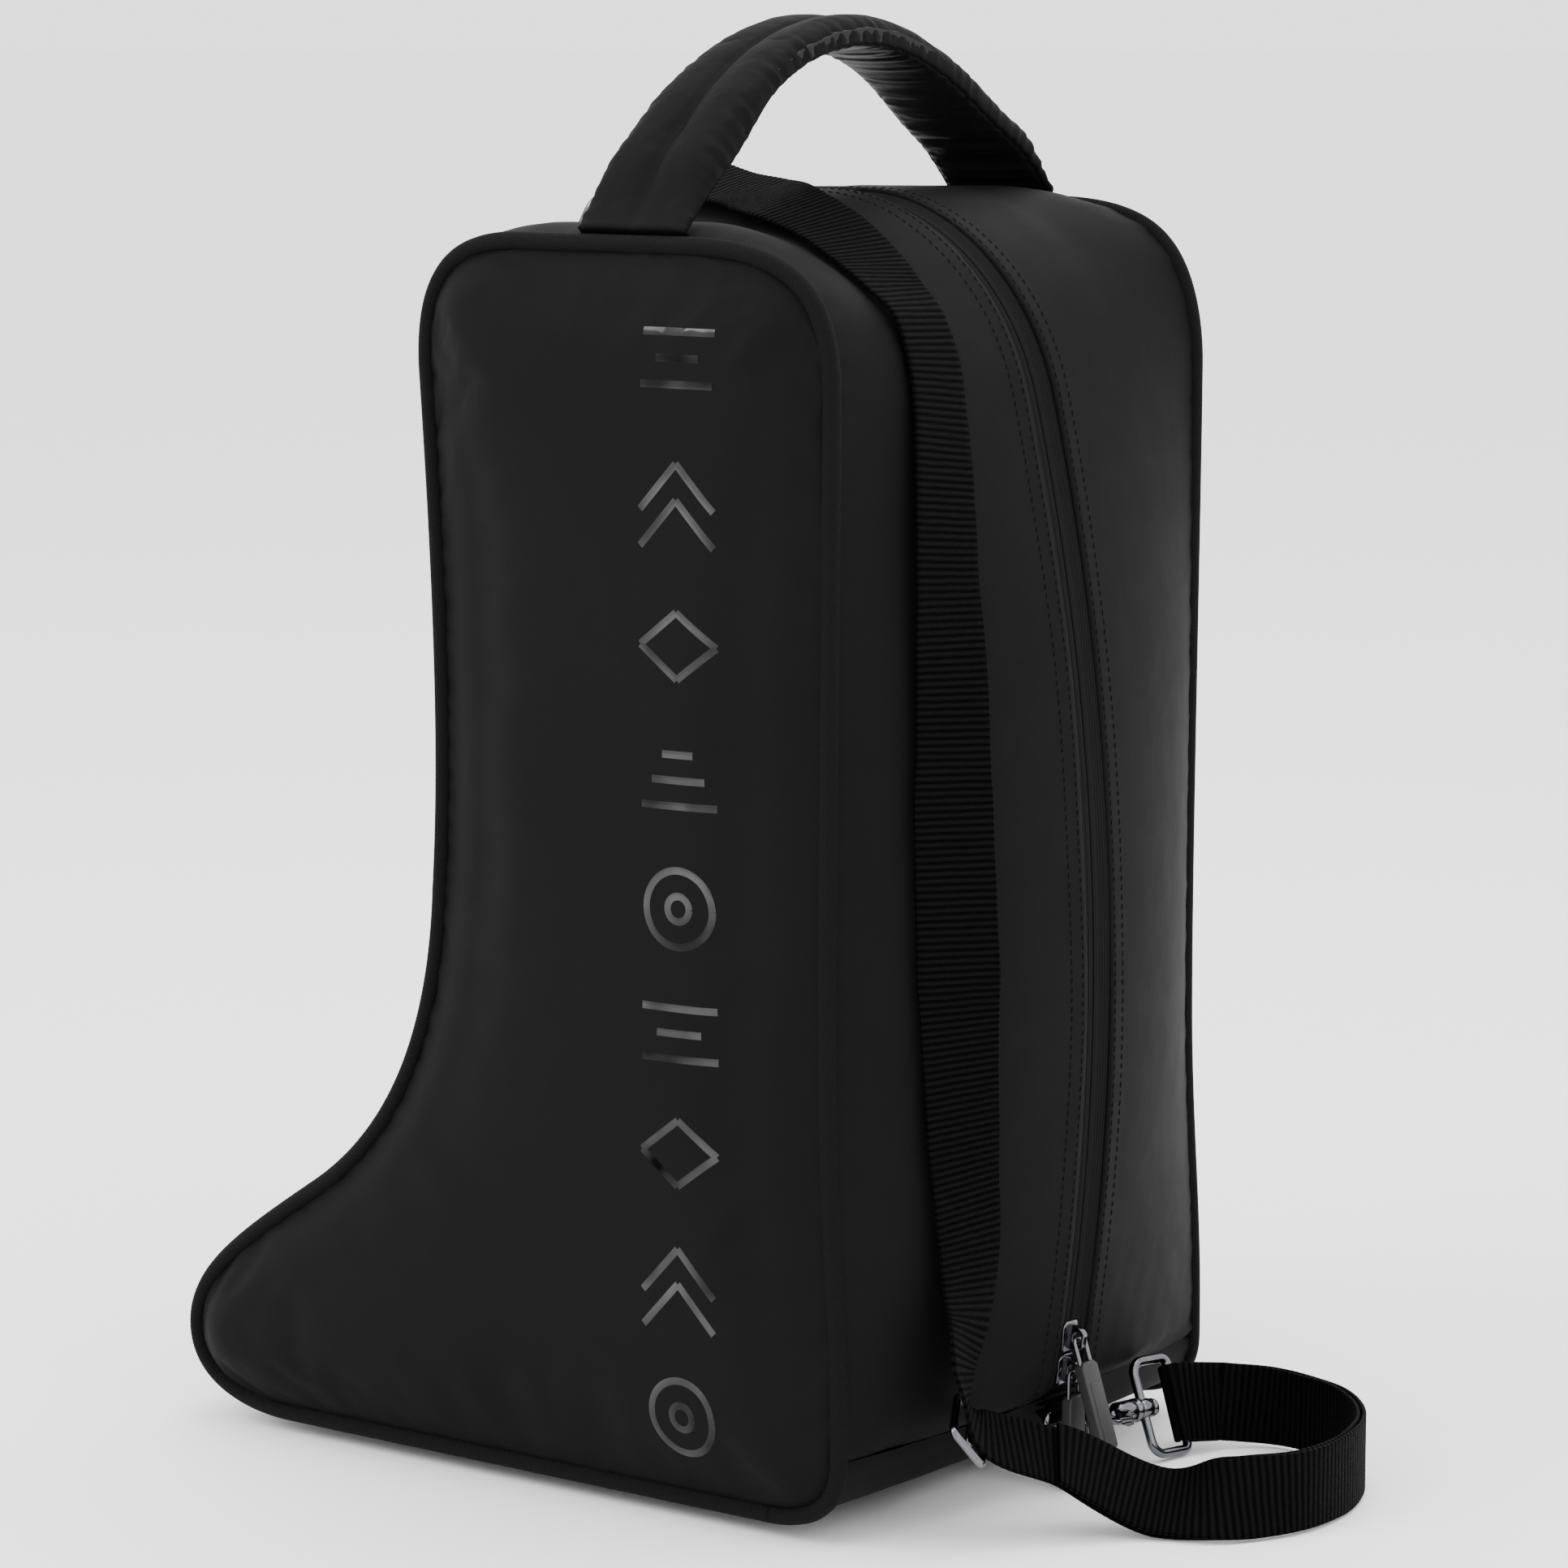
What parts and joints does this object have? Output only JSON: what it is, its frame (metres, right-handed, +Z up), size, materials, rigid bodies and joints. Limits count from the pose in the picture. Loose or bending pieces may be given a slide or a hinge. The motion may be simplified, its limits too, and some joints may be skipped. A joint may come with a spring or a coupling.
{
  "type": "boot bag",
  "caption": "Boot-shaped shoe bag of coated fabric with piping, a two-way back zip, a padded handle, a clip-on shoulder strap, feet and a side pocket.",
  "frame": {"origin": "on the floor under the middle of the bag's box, measured without the shoulder strap", "axes": "+Z up, -X towards the toe, +X towards the back zip, -Y towards the plain printed side, +Y towards the pocket side"},
  "size_m": [0.4778, 0.29, 0.588],
  "materials": {
    "coated_fabric": "soft-touch coated fabric, matte with a faint broad sheen",
    "piping_twill": "fine twill tape round a cord",
    "webbing": "ribbed woven webbing",
    "lining_cloth": "thin smooth lining cloth",
    "zip_tape": "woven zip tape",
    "zip_coil": "moulded nylon coil",
    "gunmetal": "dark polished gunmetal plating",
    "pull_rubber": "matte moulded rubber",
    "foot_rubber": "matte moulded rubber",
    "base_board": "plain sheet",
    "handle_foam": "closed-cell foam"
  },
  "bodies": {
    "bag": {"side_panel_left": "coated_fabric", "side_panel_right": "coated_fabric", "front_gusset": "coated_fabric", "rear_gusset_left": "coated_fabric", "rear_gusset_right": "coated_fabric", "base_panel": "coated_fabric", "handle_cover": "coated_fabric", "piping_left": "piping_twill", "piping_right": "piping_twill", "strap_webbing": "webbing", "strap_return": "webbing", "d_ring_tab_lower": "webbing", "d_ring_tab_upper": "webbing", "lining_left": "lining_cloth", "lining_right": "lining_cloth", "pocket_pouch": "lining_cloth", "handle_underside": "lining_cloth", "zip_tape_left": "zip_tape", "zip_tape_right": "zip_tape", "pocket_zip_tape_upper": "zip_tape", "pocket_zip_tape_lower": "zip_tape", "zip_coil_left": "zip_coil", "zip_coil_right": "zip_coil", "swivel_stud_lower": "gunmetal", "swivel_stud_upper": "gunmetal", "swivel_eye_lower": "gunmetal", "swivel_eye_upper": "gunmetal", "tri_glide": "gunmetal", "foot_toe_left": "foot_rubber", "foot_toe_right": "foot_rubber", "foot_heel_left": "foot_rubber", "foot_heel_right": "foot_rubber", "base_board": "base_board", "handle_core_front": "handle_foam", "handle_core_rear": "handle_foam"},
    "d_ring_lower": {"d_ring_lower": "gunmetal"},
    "hook_lower": {"hook_body_lower": "gunmetal", "hook_pin_lower": "gunmetal"},
    "gate_lower": {"hook_gate_lower": "gunmetal"},
    "d_ring_upper": {"d_ring_upper": "gunmetal"},
    "hook_upper": {"hook_body_upper": "gunmetal", "hook_pin_upper": "gunmetal"},
    "gate_upper": {"hook_gate_upper": "gunmetal"},
    "slider_lower": {"zip_slider_lower": "gunmetal"},
    "pull_lower": {"pull_link_lower": "gunmetal", "pull_tab_lower": "pull_rubber"},
    "slider_upper": {"zip_slider_upper": "gunmetal"},
    "pull_upper": {"pull_link_upper": "gunmetal", "pull_tab_upper": "pull_rubber"},
    "pocket_slider": {"pocket_slider": "gunmetal"},
    "pocket_pull": {"pocket_pull_ring": "gunmetal", "pocket_pull_tab": "pull_rubber"}
  },
  "joints": [
    {"name": "d_ring_lower_swing", "type": "hinge", "parent": "bag", "child": "d_ring_lower", "pos_m": [0.166, 0.002, 0.03], "axis": [0, 1, 0], "range_deg": [-2, 6]},
    {"name": "hook_lower_swivel", "type": "hinge", "parent": "bag", "child": "hook_lower", "pos_m": [0.1732, 0.04806, 0.021], "axis": [0.2001, 0.9785, -0.05], "range_deg": [-15, 15]},
    {"name": "gate_lower_open", "type": "hinge", "parent": "hook_lower", "child": "gate_lower", "pos_m": [0.17852, 0.02914, 0.02197], "axis": [0, -0.0511, -0.9987], "range_deg": [0, 16], "stiffness_Nm_per_rad": 0.02, "springref_deg": -8.59},
    {"name": "d_ring_upper_swing", "type": "hinge", "parent": "bag", "child": "d_ring_upper", "pos_m": [-0.0685, -0.006, 0.4953], "axis": [0, 1, 0], "range_deg": [-2, 4]},
    {"name": "hook_upper_swivel", "type": "hinge", "parent": "bag", "child": "hook_upper", "pos_m": [-0.02841, -0.01932, 0.52063], "axis": [0.8934, -0.4162, 0.1691], "range_deg": [-12, 12]},
    {"name": "gate_upper_open", "type": "hinge", "parent": "hook_upper", "child": "gate_upper", "pos_m": [-0.04542, -0.01139, 0.52654], "axis": [-0.4223, -0.9065, 0], "range_deg": [0, 16], "stiffness_Nm_per_rad": 0.02, "springref_deg": -8.59},
    {"name": "slider_lower_travel", "type": "hinge", "parent": "bag", "child": "slider_lower", "pos_m": [-0.764, -0.006, 0.205], "axis": [0, -1, 0], "range_deg": [0, 5]},
    {"name": "pull_lower_swing", "type": "hinge", "parent": "slider_lower", "child": "pull_lower", "pos_m": [0.17489, -0.006, 0.04819], "axis": [0, -1, 0], "range_deg": [0, 10]},
    {"name": "slider_upper_travel", "type": "hinge", "parent": "slider_lower", "child": "slider_upper", "pos_m": [-0.764, -0.006, 0.205], "axis": [0, -1, 0], "range_deg": [0, 17]},
    {"name": "pull_upper_swing", "type": "hinge", "parent": "slider_upper", "child": "pull_upper", "pos_m": [0.17713, -0.006, 0.06222], "axis": [0, -1, 0], "range_deg": [-2, 125]},
    {"name": "pocket_slider_travel", "type": "slide", "parent": "bag", "child": "pocket_slider", "axis": [-1, 0, 0], "range_m": [0, 0.142]},
    {"name": "pocket_pull_swing", "type": "hinge", "parent": "pocket_slider", "child": "pocket_pull", "pos_m": [0.1308, 0.1323, 0.396], "axis": [1, 0, 0], "range_deg": [-3, 20]}
  ]
}
